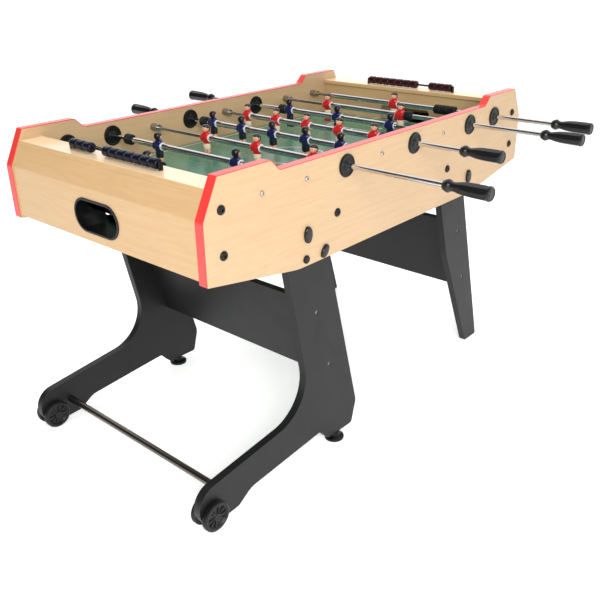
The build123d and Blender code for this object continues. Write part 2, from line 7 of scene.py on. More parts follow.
# %% Load the frame
import bpy
import bmesh
from math import atan2, cos, pi, radians
from mathutils import Matrix, Vector
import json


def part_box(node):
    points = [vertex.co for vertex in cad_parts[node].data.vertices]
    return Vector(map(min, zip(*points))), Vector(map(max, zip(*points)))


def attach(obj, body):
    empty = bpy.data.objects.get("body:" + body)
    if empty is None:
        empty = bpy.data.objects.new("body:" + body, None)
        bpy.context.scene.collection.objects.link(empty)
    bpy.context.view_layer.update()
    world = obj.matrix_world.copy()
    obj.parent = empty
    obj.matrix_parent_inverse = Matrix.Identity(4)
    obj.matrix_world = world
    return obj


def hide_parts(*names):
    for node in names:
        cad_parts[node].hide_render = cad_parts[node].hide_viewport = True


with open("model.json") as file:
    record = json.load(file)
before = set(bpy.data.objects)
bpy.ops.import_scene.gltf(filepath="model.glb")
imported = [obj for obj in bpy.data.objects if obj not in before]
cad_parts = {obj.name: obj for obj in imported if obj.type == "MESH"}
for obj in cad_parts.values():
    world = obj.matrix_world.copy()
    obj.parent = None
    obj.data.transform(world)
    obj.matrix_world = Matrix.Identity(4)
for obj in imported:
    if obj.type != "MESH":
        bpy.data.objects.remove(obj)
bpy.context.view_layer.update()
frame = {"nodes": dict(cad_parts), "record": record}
MM = 0.001
BODIES = frame["record"]["behaviour"]["bodies"]
NODE_BODY = {node: body for body, nodes in BODIES.items() for node in nodes}

# %% [markdown]
# ## Where things are
# The rods lie in one level plane, so the box of any rod tube gives that plane's height. The
# box of the playing field gives the middle of the table. All other places follow from the
# boxes of the nodes they belong to.

# %% Places read from the frame
field_low, field_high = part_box("playfield")
CENTRE = (field_low + field_high) / 2
FIELD_TOP = field_high.z
RODS = range(1, 9)


def middle(node):
    """The middle of a node's box."""
    low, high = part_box(node)
    return (low + high) / 2


ROD_Z = middle("rod_1_tube").z
ROD_X = {n: middle(f"rod_{n}_tube").x for n in RODS}
HANDLE_SIDE = {n: 1 if middle(f"rod_{n}_handle").y > CENTRE.y else -1 for n in RODS}
print("rods at", [round(x, 3) for x in ROD_X.values()])

# %% [markdown]
# ## Shader helpers
# A material is a small graph of nodes. These helpers keep the graphs short: one adds a node
# and fills its inputs, one makes a material with its Principled shader, and one makes a node
# group, which is an effect that several materials share. Sums, blends of colour and noise come
# up so often that each has a helper too.

# %% Node helpers


def put(tree, kind, inputs=None, **settings):
    """Add a node, set its options, and set or link its inputs by name or number."""
    node = tree.nodes.new(kind)
    for key, value in settings.items():
        setattr(node, key, value)
    for key, value in (inputs or {}).items():
        if isinstance(value, bpy.types.NodeSocket):
            tree.links.new(value, node.inputs[key])
        else:
            node.inputs[key].default_value = value
    return node


def rgb(r, g, b):
    """A colour from 0 to 255 as a screen shows it, turned to the linear values shaders use."""
    linear = [((c / 255 + 0.055) / 1.055) ** 2.4 if c > 10 else c / 255 / 12.92 for c in (r, g, b)]
    return (*linear, 1.0)


def material(name, color, rough, metallic=0.0, **extra):
    """A Principled material with plain starting values, given as numbers on its sockets."""
    mat = bpy.data.materials.new(name)
    mat.use_nodes = True
    shader = mat.node_tree.nodes["Principled BSDF"]
    shader.inputs["Base Color"].default_value = color
    shader.inputs["Roughness"].default_value = rough
    shader.inputs["Metallic"].default_value = metallic
    for key, value in extra.items():
        shader.inputs[key.replace("_", " ")].default_value = value
    return mat, mat.node_tree, shader


def group(name, inputs, outputs):
    """A node group with named sockets: inputs as (name, kind, default), outputs as (name, kind)."""
    tree = bpy.data.node_groups.new(name, "ShaderNodeTree")
    for label, kind, default in inputs:
        socket = tree.interface.new_socket(label, in_out="INPUT", socket_type=kind)
        if default is not None:
            socket.default_value = default
    for label, kind in outputs:
        tree.interface.new_socket(label, in_out="OUTPUT", socket_type=kind)
    return tree, tree.nodes.new("NodeGroupInput"), tree.nodes.new("NodeGroupOutput")


def math(tree, operation, a, b=0.0, clamp=False):
    """The result of one sum on values or sockets."""
    node = put(tree, "ShaderNodeMath", {0: a, 1: b}, operation=operation, use_clamp=clamp)
    return node.outputs[0]


def mix(tree, factor, a, b):
    """A blend of two colours, from the first at 0 to the second at 1."""
    node = put(tree, "ShaderNodeMix", data_type="RGBA")
    for key, value in ((0, factor), (6, a), (7, b)):
        if isinstance(value, bpy.types.NodeSocket):
            tree.links.new(value, node.inputs[key])
        else:
            node.inputs[key].default_value = value
    return node.outputs[2]


def noise(tree, vector, scale, detail, distortion=0.0):
    """Soft cloudy noise, from 0 to 1."""
    inputs = {"Vector": vector, "Scale": scale, "Detail": detail, "Distortion": distortion}
    return put(tree, "ShaderNodeTexNoise", inputs).outputs[0]


FLOAT, COLOR, VECTOR = "NodeSocketFloat", "NodeSocketColor", "NodeSocketVector"
print("helpers ready")

# %% [markdown]
# ## Handled surfaces
# No moulded or plated surface is even: light catches faint smears and a very fine grain. One
# group gives a roughness that wanders about a middle value, and a fine height for a bump.

# %% Group: handled surface
handled, gi, go = group(
    "handled_surface",
    [("Rough", FLOAT, 0.4), ("Spread", FLOAT, 0.1), ("Grain size", FLOAT, 900.0)],
    [("Roughness", FLOAT), ("Height", FLOAT)],
)
coord = put(handled, "ShaderNodeTexCoord").outputs["Object"]
smears = math(handled, "SUBTRACT", noise(handled, coord, 14.0, 4.0), 0.5)
wander = math(handled, "MULTIPLY", smears, gi.outputs["Spread"])
handled.links.new(math(handled, "ADD", wander, gi.outputs["Rough"]), go.inputs["Roughness"])
handled.links.new(noise(handled, coord, gi.outputs["Grain size"], 2.0), go.inputs["Height"])


def handle_it(tree, shader, rough, spread, grain=900.0, bump=0.1, depth=0.0002):
    """Give a material the handled surface's roughness and fine bump."""
    node = put(tree, "ShaderNodeGroup", node_tree=handled)
    node.inputs["Rough"].default_value = rough
    node.inputs["Spread"].default_value = spread
    node.inputs["Grain size"].default_value = grain
    tree.links.new(node.outputs["Roughness"], shader.inputs["Roughness"])
    bumps = {"Strength": bump, "Distance": depth, "Height": node.outputs["Height"]}
    tree.links.new(put(tree, "ShaderNodeBump", bumps).outputs[0], shader.inputs["Normal"])


# %% [markdown]
# ## Maple laminate
# The boards are covered in a printed maple foil: a pale honey ground, long faint streaks
# along the grain, a few broad cathedral figures, and short darker pores. Stretching the
# coordinates along the grain turns round noise into streaks. The group does it all for one
# grain direction, and a Mapping node in each material turns the board's grain to suit.

# %% Group: maple grain
maple, gi, go = group(
    "maple_grain",
    [
        ("Vector", VECTOR, None),
        ("Pale", COLOR, rgb(208, 176, 135)),
        ("Dark", COLOR, rgb(190, 154, 112)),
    ],
    [("Color", COLOR), ("Height", FLOAT)],
)
RING_COUNT = 70.0
RING_DEPTH, STREAK_DEPTH, PORE_DEPTH = 0.16, 0.52, 0.10


def drawn_out(along, across, detail, scale=1.0, distortion=0.0):
    """Noise stretched along the grain, by its scale along and across it."""
    stretch = {"Vector": gi.outputs["Vector"], "Scale": (along, across, across)}
    vector = put(maple, "ShaderNodeMapping", stretch).outputs[0]
    return noise(maple, vector, scale, detail, distortion)


broad = drawn_out(1.1, 9.0, 5.0, scale=1.6, distortion=0.9)
rings = math(maple, "SINE", math(maple, "MULTIPLY", broad, RING_COUNT))
rings = math(maple, "MULTIPLY", math(maple, "ADD", rings, 1.0), 0.5)
streaks = drawn_out(5.0, 160.0, 4.0)
pores = math(maple, "GREATER_THAN", drawn_out(26.0, 700.0, 1.0), 0.66)
rings = math(maple, "MULTIPLY", rings, RING_DEPTH)
darkness = math(maple, "ADD", rings, math(maple, "MULTIPLY", streaks, STREAK_DEPTH))
darkness = math(maple, "ADD", darkness, math(maple, "MULTIPLY", pores, PORE_DEPTH), clamp=True)
tone = mix(maple, darkness, gi.outputs["Pale"], gi.outputs["Dark"])
maple.links.new(tone, go.inputs["Color"])
maple.links.new(streaks, go.inputs["Height"])

# %% Maple finishes


def maple_material(name, pale, dark, turn=(0, 0, 0), rough=0.36, coat=0.12):
    """A maple board, with its grain along X unless it is turned."""
    mat, tree, shader = material(name, pale, rough, Coat_Weight=coat, Coat_Roughness=0.25)
    coord = put(tree, "ShaderNodeTexCoord").outputs["Object"]
    turned = put(tree, "ShaderNodeMapping", {"Vector": coord, "Rotation": turn})
    grain = put(tree, "ShaderNodeGroup", node_tree=maple)
    tree.links.new(turned.outputs[0], grain.inputs["Vector"])
    grain.inputs["Pale"].default_value = pale
    grain.inputs["Dark"].default_value = dark
    tree.links.new(grain.outputs["Color"], shader.inputs["Base Color"])
    bumps = {"Strength": 0.08, "Distance": 0.0004, "Height": grain.outputs["Height"]}
    tree.links.new(put(tree, "ShaderNodeBump", bumps).outputs[0], shader.inputs["Normal"])
    return mat


SIDE_PALE, SIDE_DARK = rgb(200, 170, 132), rgb(182, 146, 105)
END_PALE, END_DARK = rgb(197, 164, 120), rgb(179, 142, 96)
ACROSS = (0, 0, radians(90))
# The deck maple is paler than the end boards' maple: a painted highlight, the glare of the light from
# above painted onto the deck's level top.
DECK_GLARE_PALE, DECK_GLARE_DARK = rgb(236, 208, 170), rgb(222, 190, 146)
BATTEN_PALE, BATTEN_DARK = rgb(222, 190, 140), rgb(180, 140, 92)
side_wood = maple_material("maple_side", SIDE_PALE, SIDE_DARK)
end_wood = maple_material("maple_end", END_PALE, END_DARK, ACROSS)
deck_wood_painted_glare = maple_material("maple_deck_painted_glare", DECK_GLARE_PALE, DECK_GLARE_DARK, ACROSS, 0.24, 0.35)
soft_wood = maple_material("batten_softwood", BATTEN_PALE, BATTEN_DARK, ACROSS, 0.6, 0.0)
print("maple finishes made")

# %% [markdown]
# ## Plastics, rubber and coated board
# Each is the handled surface over one colour. What sets them apart is how rough they are and
# how deep their fine grain is: edge moulding is glossy, coated board has a low sheen with a
# visible texture, and rubber is the dullest.

# %% Plain finishes


def plain(name, color, rough, spread=0.08, grain=900.0, bump=0.1, depth=0.0002, **extra):
    """One colour with the handled surface over it."""
    mat, tree, shader = material(name, color, rough, **extra)
    handle_it(tree, shader, rough, spread, grain, bump, depth)
    return mat


red_edging = plain("red_edging", rgb(210, 52, 47), 0.3, Coat_Weight=0.2)
black_board = plain("black_board", rgb(24, 24, 25), 0.46, 0.12, 1500.0, 0.25, 0.0003,
                    Specular_IOR_Level=0.3)
black_plastic = plain("black_plastic", rgb(12, 12, 13), 0.36, 0.14, 1200.0, 0.2,
                      Specular_IOR_Level=0.25)
knob_black = plain("knob_black", rgb(14, 14, 15), 0.22, 0.1, 1200.0, Specular_IOR_Level=0.45)
grip_black = plain("grip_black", rgb(18, 18, 20), 0.3, 0.12, 1600.0, 0.12, Specular_IOR_Level=0.4)
wheel_black = plain("wheel_black", rgb(18, 18, 19), 0.42, 0.12, 1100.0, 0.25,
                    Specular_IOR_Level=0.3)
rubber_black = plain("rubber_black", rgb(15, 15, 16), 0.55, 0.1, 1400.0, 0.3,
                     Specular_IOR_Level=0.3)
black_oxide = plain("black_oxide", rgb(30, 28, 27), 0.34, 0.1, metallic=0.6)
bead_navy = plain("bead_navy", rgb(4, 9, 28), 0.32, Specular_IOR_Level=0.25)
bead_red = plain("bead_red", rgb(44, 5, 8), 0.3, Specular_IOR_Level=0.35)
print("plain finishes made")

# %% [markdown]
# ## Bright metal
# The rods are chrome plated: almost a mirror, with the faintest haze left by polishing. The
# guide rods and their sockets, the crossbar and the bolts are duller the more they are handled.

# %% Metals


def bright(name, color, rough, haze):
    """Metal whose haze wanders with the handled surface."""
    mat, tree, shader = material(name, color, rough, 1.0)
    handle_it(tree, shader, rough, haze, 2500.0, 0.03, 0.00005)
    return mat


chrome = bright("rod_chrome", rgb(206, 207, 210), 0.1, 0.06)
guide_steel = bright("guide_steel", rgb(150, 146, 140), 0.24, 0.12)
nickel = bright("nickel", rgb(176, 172, 164), 0.2, 0.08)
bar_steel = bright("bar_steel", rgb(112, 106, 100), 0.3, 0.12)
bolt_steel = bright("bolt_steel", rgb(120, 118, 116), 0.38, 0.12)
print("metals made")

# %% [markdown]
# ## The printed pitch
# The playing field is a green board with white lines printed under a clear gloss. Distances
# from the middle of the field, worked out with Math nodes, give every line as a mask. The
# green is mown in broad bands.

# %% Field print
FIELD_L = (field_high.x - field_low.x) / 2
FIELD_W = (field_high.y - field_low.y) / 2
LINE = 0.0028
BORDER, BORDER_OUTSIDE = 0.02, 0.017
CENTRE_RING, CENTRE_SPOT = 0.1, 0.007
PENALTY_DEPTH, PENALTY_HALF = 0.21, 0.19
GOAL_DEPTH, GOAL_HALF = 0.09, 0.115
ARC_MIDDLE, ARC_RADIUS = 0.16, 0.095
SPOT_PLACE, SPOT_RADIUS = 0.155, 0.006
BAND_RATE = 42.0
GREEN, PALE_GREEN = rgb(62, 118, 96), rgb(74, 130, 108)
DARK_GREEN, LINE_WHITE = rgb(42, 98, 76), rgb(196, 208, 196)


def field_material():
    """The printed field, with its lines worked out from distances to its middle and ends."""
    mat, tree, shader = material("field_print", GREEN, 0.3, Coat_Weight=0.25, Coat_Roughness=0.12)
    coord = put(tree, "ShaderNodeTexCoord").outputs["Object"]
    centred = {"Vector": coord, "Location": (-CENTRE.x, -CENTRE.y, 0)}
    place = put(tree, "ShaderNodeMapping", centred).outputs[0]
    split = put(tree, "ShaderNodeSeparateXYZ", {0: place})
    x = math(tree, "ABSOLUTE", split.outputs[0])
    y = math(tree, "ABSOLUTE", split.outputs[1])

    def below(value, limit):
        return math(tree, "LESS_THAN", value, limit)

    def above(value, limit):
        return math(tree, "GREATER_THAN", value, limit)

    def near(value, target):
        return below(math(tree, "ABSOLUTE", math(tree, "SUBTRACT", value, target)), LINE)

    def both(a, b):
        return math(tree, "MULTIPLY", a, b)

    def either(a, b):
        return math(tree, "MAXIMUM", a, b)

    def box_line(inner_x, half_y):
        """Three sides of a box against the end of the field, at both ends."""
        front = both(near(x, inner_x), below(y, half_y))
        sides = both(near(y, half_y), above(x, inner_x))
        return either(front, sides)

    def distance(offset_x):
        """Distance from a point on the field's long middle line."""
        dx = math(tree, "SUBTRACT", x, offset_x)
        return math(tree, "SQRT", math(tree, "ADD", both(dx, dx), both(y, y)))

    border = either(near(x, FIELD_L - BORDER), near(y, FIELD_W - BORDER))
    inside = both(below(x, FIELD_L - BORDER_OUTSIDE), below(y, FIELD_W - BORDER_OUTSIDE))
    ring = near(distance(FIELD_L - ARC_MIDDLE), ARC_RADIUS)
    lines = near(x, 0.0)
    for mark in (
        near(distance(0.0), CENTRE_RING),
        below(distance(0.0), CENTRE_SPOT),
        box_line(FIELD_L - PENALTY_DEPTH, PENALTY_HALF),
        box_line(FIELD_L - GOAL_DEPTH, GOAL_HALF),
        both(ring, below(x, FIELD_L - PENALTY_DEPTH)),
        below(distance(FIELD_L - SPOT_PLACE), SPOT_RADIUS),
        both(border, inside),
    ):
        lines = either(lines, mark)
    waves = math(tree, "SINE", math(tree, "MULTIPLY", split.outputs[0], BAND_RATE))
    green = mix(tree, above(waves, 0.0), GREEN, PALE_GREEN)
    blades = math(tree, "MULTIPLY", noise(tree, coord, 380.0, 3.0), 0.45)
    green = mix(tree, blades, green, DARK_GREEN)
    tree.links.new(mix(tree, lines, green, LINE_WHITE), shader.inputs["Base Color"])
    smears = math(tree, "MULTIPLY", noise(tree, coord, 9.0, 3.0), 0.12)
    tree.links.new(math(tree, "ADD", smears, 0.22), shader.inputs["Roughness"])
    return mat


field_print = field_material()
print("field", round(2 * FIELD_L, 3), "by", round(2 * FIELD_W, 3), "m")

# %% [markdown]
# ## From frame node to finished piece
# A frame node is exact, but its mesh is loose triangles with knife edges. A finished copy has
# its doubles merged and its flat areas joined up, gets a small bevel on every sharp edge, and
# is shaded smooth, so its edges catch a thin line of light as real ones do.

# %% Refine a frame node
MERGE = 1e-6
done = []


def finish_piece(name, mesh, node, mats):
    """Make a mesh an object with its finishes, which stands for its node on the node's body."""
    for mat in mats:
        mesh.materials.append(mat)
    obj = bpy.data.objects.new(name, mesh)
    bpy.context.scene.collection.objects.link(obj)
    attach(obj, NODE_BODY[node])
    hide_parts(node)
    done.append(name)
    return obj


def new_mesh(bm, name, angle=35):
    """Turn a bmesh into a smooth mesh, with edges sharper than the angle kept crisp."""
    mesh = bpy.data.meshes.new(name)
    bm.to_mesh(mesh)
    bm.free()
    for face in mesh.polygons:
        face.use_smooth = True
    mesh.set_sharp_from_angle(angle=radians(angle))
    return mesh


def refine(node, mat, bevel=0.6, segments=2):
    """A cleaned copy of a node, with the bevel in millimetres on its sharp edges."""
    bm = bmesh.new()
    bm.from_mesh(frame["nodes"][node].data)
    bmesh.ops.remove_doubles(bm, verts=bm.verts, dist=MERGE)
    bmesh.ops.dissolve_limit(bm, angle_limit=radians(0.5), verts=bm.verts, edges=bm.edges)
    name = f"{node}_fine"
    obj = finish_piece(name, new_mesh(bm, name), node, [mat])
    if bevel:
        mod = obj.modifiers.new("edges", "BEVEL")
        mod.width = bevel * MM
        mod.segments = segments
        mod.limit_method = "ANGLE"
        mod.angle_limit = radians(38)
        mod.use_clamp_overlap = True
        mod.harden_normals = True
    return obj


def second_finish(obj, mat, chosen):
    """Give some faces of a piece another finish, chosen by a test of the face."""
    obj.data.materials.append(mat)
    for face in obj.data.polygons:
        if chosen(face):
            face.material_index = 1


def corners(obj, face):
    """The places of a face's corners."""
    return [obj.data.vertices[i].co for i in face.vertices]


# %% Boards, legs and metalwork
LEVEL = 0.9
BOLT_END = 5 * MM
GUIDE_REACH = 8 * MM


def bolt_ends(board):
    """A test of whether a face of a cross board is at the very end of one of its bolts."""
    reach = max(abs(v.co.y - CENTRE.y) for v in board.data.vertices) - BOLT_END
    return lambda face: all(abs(corner.y - CENTRE.y) > reach for corner in corners(board, face))


def on_socket(face):
    """Whether a face of the guides is on a socket, which is fatter than the rod in it."""
    return max(abs(corner.z - ROD_Z) for corner in corners(guides, face)) > GUIDE_REACH


for side in ("near", "far"):
    refine(f"side_panel_{side}", side_wood, 0.0)
refine("edge_trim", red_edging, 0.0)
refine("end_panels", end_wood, 0.6)
# The deck's level top takes the paler deck maple, a painted highlight of the glare from above; its
# sloped faces take the end boards' maple.
decks = refine("end_decks", deck_wood_painted_glare, 0.8)
second_finish(decks, end_wood, lambda face: face.normal.z < LEVEL)
refine("goal_walls", end_wood, 0.8)
refine("playfield", field_print, 0.0)
refine("inner_battens", soft_wood, 0.8)
refine("ball_cups", black_plastic, 1.0, 3)
refine("left_legs", black_board, 1.2, 3)
refine("right_legs", black_board, 1.2, 3)
for end in ("left", "right"):
    board = refine(f"{end}_cross_panel", black_board, 0.4)
    second_finish(board, bolt_steel, bolt_ends(board))
refine("left_crossbar", bar_steel, 0.6)
refine("left_feet", black_plastic, 0.6)
refine("leg_pivots", black_oxide, 0.5)
refine("leg_knobs", knob_black, 0.6)
guides = refine("guide_rods", guide_steel, 0.3)
second_finish(guides, nickel, on_socket)
refine("scorer_rails", black_plastic, 0.6)
for n in RODS:
    refine(f"rod_{n}_tube", chrome, 0.2)
print(len(done), "pieces refined")

# %% [markdown]
# ## Turned pieces
# Handles, bearings, bumpers, beads and wheels are all bodies of revolution on an axis across
# the table. Each is one outline of (distance along the axis, radius) points, spun round. A
# full spin with use_merge closes the seam, and the points on the axis merge into one pole.

# %% Lathe helper


def lathe(bm, outline, at, side=1, steps=48, closed=False):
    """Spin an outline in millimetres round the line across the table through a point."""
    places = [at + Vector((radius * MM, side * along * MM, 0)) for along, radius in outline]
    verts = [bm.verts.new(place) for place in places]
    pairs = list(zip(verts, verts[1:]))
    if closed:
        pairs.append((verts[-1], verts[0]))
    edges = [bm.edges.new(pair) for pair in pairs]
    bmesh.ops.spin(bm, geom=verts + edges, cent=at, axis=(0, 1, 0), dvec=(0, 0, 0),
                   angle=2 * pi, steps=steps, use_merge=True)
    bmesh.ops.remove_doubles(bm, verts=bm.verts, dist=MERGE)


def piece(bm, name, node, mats, angle=35):
    """Turn a finished bmesh into an object that stands for a node."""
    bmesh.ops.recalc_face_normals(bm, faces=bm.faces)
    return finish_piece(name, new_mesh(bm, name, angle), node, mats)


def table_end(node, side):
    """The axis point of a node's table-side end, from which its outline's distances start."""
    low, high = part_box(node)
    y = low.y if side > 0 else high.y
    return Vector(((low.x + high.x) / 2, y, (low.z + high.z) / 2))


# %% [markdown]
# ## Handles
# A handle starts at a rounded collar, narrows to a waist for the thumb, and swells to a grip
# with eight soft flats. The flats are made after the spin: points on the grip are drawn in
# towards an octagon, more strongly in the middle of the grip than at its ends.

# %% Handles
HANDLE = [(0, 6.5), (0, 10.6), (1.2, 11.4), (6, 13.6), (10.5, 15.2), (13, 15.3), (15.5, 14.4),
          (18.5, 12.4), (22, 10.9), (26, 10.7), (32, 11.6), (41, 13.8), (52, 15.6), (64, 16.5),
          (78, 16.9), (94, 17.1), (106, 17.2), (108, 16.5), (109.5, 16.5), (111, 17.2),
          (115, 16.6), (117, 14.8), (116.4, 13.6), (115.6, 12.6), (115.6, 9.0), (116.6, 8.2),
          (116.8, 0)]
FLATS = 8
FLATS_FROM, FLATS_TO = 38, 109
FADE_IN, FADE_OUT = 16, 3


def octagon(angle):
    """Radius of a unit octagon's outline at an angle."""
    wedge = 2 * pi / FLATS
    return cos(wedge / 2) / cos((angle % wedge) - wedge / 2)


for n in RODS:
    side = HANDLE_SIDE[n]
    start = table_end(f"rod_{n}_handle", side)
    bm = bmesh.new()
    lathe(bm, HANDLE, start, side, 64)
    for v in bm.verts:
        along = (v.co.y - start.y) * side / MM
        grip = max(0.0, min(1.0, (along - FLATS_FROM) / FADE_IN, (FLATS_TO - along) / FADE_OUT))
        dx, dz = v.co.x - start.x, v.co.z - start.z
        scale = 1 + grip * (octagon(atan2(dz, dx)) - 1)
        v.co.x, v.co.z = start.x + dx * scale, start.z + dz * scale
    piece(bm, f"rod_{n}_grip", f"rod_{n}_handle", [grip_black], 28)
print("handles turned")

# %% [markdown]
# ## Bearings and bumpers
# A bearing is a pair of dished flanges, one on each face of the side panel, joined by a
# barrel. The rod's bumper is a rubber ring with ridges that squash against the flange.

# %% Bearings
panel_low, panel_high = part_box("side_panel_near")
PANEL = (panel_high.y - panel_low.y) / MM
FLANGE_DEPTH = 5.0
FLANGE = [(FLANGE_DEPTH, 6.42), (FLANGE_DEPTH, 10.5), (4.4, 11.5), (3.2, 12.2), (2.8, 14.0),
          (3.4, 22.5), (4.4, 23.4), (5.0, 24.6), (5.0, 26.4), (4.0, 28.2), (2.2, 29.0),
          (0.0, 29.0), (0.0, 13.0)]
bearing_low, bearing_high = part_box("rod_bearings")
bm = bmesh.new()
for n in RODS:
    side = HANDLE_SIDE[n]
    outer_y = bearing_high.y if side > 0 else bearing_low.y
    face = Vector((ROD_X[n], outer_y - side * FLANGE_DEPTH * MM, ROD_Z))
    outline = FLANGE + [(-PANEL - along, radius) for along, radius in reversed(FLANGE)]
    lathe(bm, outline, face, side, 48, closed=True)
piece(bm, "rod_bearings_fine", "rod_bearings", [black_plastic])
print("bearings turned for a panel of", round(PANEL, 1), "mm")

# %% Bumpers
RIDGE = [(-4.2, 13.2), (-2.6, 15.0), (1.0, 15.0), (2.6, 13.2)]
RIDGE_PLACES = (-7.0, 0.8, 8.6)
RING_PITCH, RING_HALF = 26, 12.8
RING_BORE, RING_END = 8.1, 12.6


def bumper_outline(centre):
    """One ring of rubber with its ridges, closed along the bore."""
    first, last = centre - RING_HALF, centre + RING_HALF
    ridges = [(centre + step + along, radius) for step in RIDGE_PLACES for along, radius in RIDGE]
    return [(first, RING_BORE), (first, RING_END)] + ridges + [(last, RING_END), (last, RING_BORE)]


for n in RODS:
    low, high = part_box(f"rod_{n}_bumpers")
    count = round((high.y - low.y) / MM / RING_PITCH)
    bm = bmesh.new()
    start = Vector((ROD_X[n], low.y, ROD_Z))
    for i in range(count):
        lathe(bm, bumper_outline(RING_HALF + RING_PITCH * i), start, 1, 40, closed=True)
    piece(bm, f"rod_{n}_rings", f"rod_{n}_bumpers", [rubber_black])
print("bumpers turned")

# %% [markdown]
# ## Screws and bolts
# The fasteners show on the outside of the side panels. Each head is a low dome, and the
# recess for its driver is a step down in the outline, near the axis. The frame's own heads say
# where they go: their points outside the panels are gathered into clusters.

# %% Fasteners
SCREW_HEAD = [(0, 6.5), (1.4, 6.4), (2.8, 5.4), (3.7, 4.0), (4.0, 2.6), (2.4, 2.2), (2.0, 0)]
BOLT_HEAD = [(0, 11.0), (1.6, 11.0), (3.4, 9.6), (4.6, 7.0), (5.0, 4.4), (4.8, 3.8), (2.4, 3.6),
             (2.4, 0)]
SAME_HEAD = 0.03
outer_near, outer_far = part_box("side_panel_near")[0].y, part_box("side_panel_far")[1].y


def head_places(node):
    """The middles of a node's separate heads, gathered from its points outside the panels."""
    heads = []
    for v in frame["nodes"][node].data.vertices:
        if outer_near - MM <= v.co.y <= outer_far + MM:
            continue
        side = 1 if v.co.y > CENTRE.y else -1
        for head_side, points in heads:
            x, z = points[0]
            if head_side == side and abs(x - v.co.x) < SAME_HEAD and abs(z - v.co.z) < SAME_HEAD:
                points.append((v.co.x, v.co.z))
                break
        else:
            heads.append((side, [(v.co.x, v.co.z)]))
    for side, points in heads:
        xs, zs = zip(*points)
        yield side, (min(xs) + max(xs)) / 2, (min(zs) + max(zs)) / 2


HEADS = (("guide_screws", SCREW_HEAD, nickel), ("panel_bolts", BOLT_HEAD, black_oxide))
for node, outline, mat in HEADS:
    bm = bmesh.new()
    found = list(head_places(node))
    for side, x, z in found:
        lathe(bm, outline, Vector((x, outer_far if side > 0 else outer_near, z)), side, 24)
    piece(bm, f"{node}_heads", node, [mat], 40)
    print(node, len(found))

# %% [markdown]
# ## Score beads
# Fat barrel beads slide on a rail above each end of the field. Their shoulders are round, so
# a row of them has a wavy outline.

# %% Beads
BEAD_PITCH = 29
BEAD = [(-14.2, 3.1), (-14.2, 8.4), (-13.4, 10.6), (-11.0, 12.1), (-7.0, 12.6), (-2.0, 12.3),
        (2.0, 12.3), (7.0, 12.6), (11.0, 12.1), (13.4, 10.6), (14.2, 8.4), (14.2, 3.1)]
for end, mat in (("left", bead_navy), ("right", bead_red)):
    for side in ("near", "far"):
        node = f"{end}_beads_{side}"
        low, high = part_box(node)
        at = (low + high) / 2
        count = round((high.y - low.y) / MM / BEAD_PITCH)
        bm = bmesh.new()
        for i in range(count):
            shift = Vector((0, (i - (count - 1) / 2) * BEAD_PITCH * MM, 0))
            lathe(bm, BEAD, at + shift, 1, 32, closed=True)
        piece(bm, f"{node}_turned", node, [mat], 50)
print("beads turned")

# %% [markdown]
# ## Wheels
# Each leg has twin plastic wheels on one axle. A wheel is a turned tyre with two grooves
# round its tread and a dished web, and the web carries raised spokes. A spoke is a small
# block that is scaled to its size, moved out from the axle and turned round it to its place.

# %% Wheels
WHEEL = [(0, 4.2), (0, 10.0), (2.5, 11.0), (4.5, 13.0), (4.5, 27.0), (2.0, 29.5), (0, 31.0), (0, 36.5),
         (1.6, 39.2), (4.0, 40.0), (5.4, 40.0), (5.9, 38.9), (6.6, 38.9), (7.1, 40.0), (8.9, 40.0),
         (9.4, 38.9), (10.1, 38.9), (10.6, 40.0), (12.0, 40.0), (14.4, 39.2), (16, 36.5), (16, 31.0),
         (14.0, 29.5), (11.5, 27.0), (11.5, 13.0), (13.5, 11.0), (16, 10.0), (16, 4.2)]
TYRE_WIDTH = 16.0
SPOKES = 10
SPOKE_SIZE = Vector((18.5, 3.0, 3.4)) * MM
SPOKE_MIDDLE, SPOKE_INSET = 20.5, 3.2


def spoke(bm, centre, angle, along, side):
    """One raised spoke, at an angle and a distance along the axle."""
    verts = bmesh.ops.create_cube(bm, size=1.0)["verts"]
    bmesh.ops.scale(bm, vec=SPOKE_SIZE, verts=verts)
    bmesh.ops.translate(bm, vec=Vector((SPOKE_MIDDLE, side * along, 0)) * MM, verts=verts)
    bmesh.ops.rotate(bm, cent=(0, 0, 0), matrix=Matrix.Rotation(angle, 3, "Y"), verts=verts)
    bmesh.ops.translate(bm, vec=centre, verts=verts)


for side_name, side in (("near", -1), ("far", 1)):
    node = f"wheels_{side_name}"
    low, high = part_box(node)
    start = table_end(node, side)
    width = (high.y - low.y) / MM
    bm = bmesh.new()
    for offset in (0.0, width - TYRE_WIDTH):
        tyre = [(along + offset, radius) for along, radius in WHEEL]
        lathe(bm, tyre, start, side, 64, closed=True)
        for along in (offset + SPOKE_INSET, offset + TYRE_WIDTH - SPOKE_INSET):
            for i in range(SPOKES):
                spoke(bm, start, 2 * pi * i / SPOKES, along, side)
    axle = [(0.4, 0), (0.4, 3.2), (1.0, 4.0), (width - 1.0, 4.0), (width - 0.4, 3.2),
            (width - 0.4, 0)]
    lathe(bm, axle, start, side, 24)
    piece(bm, f"{node}_spoked", node, [wheel_black], 30)
print("wheels turned")

# %% [markdown]
# ## The players
# A player is a toy figure moulded round the rod. Each limb is a loft: a stack of ellipses,
# joined ring to ring by bridge_loops and capped at both ends. The face is only a nose, ears
# and two painted eyes, as on any toy. One figure is built facing +X, and then copied along the
# rods in its team's colours. The dark blue team faces +X and the red team is turned round.

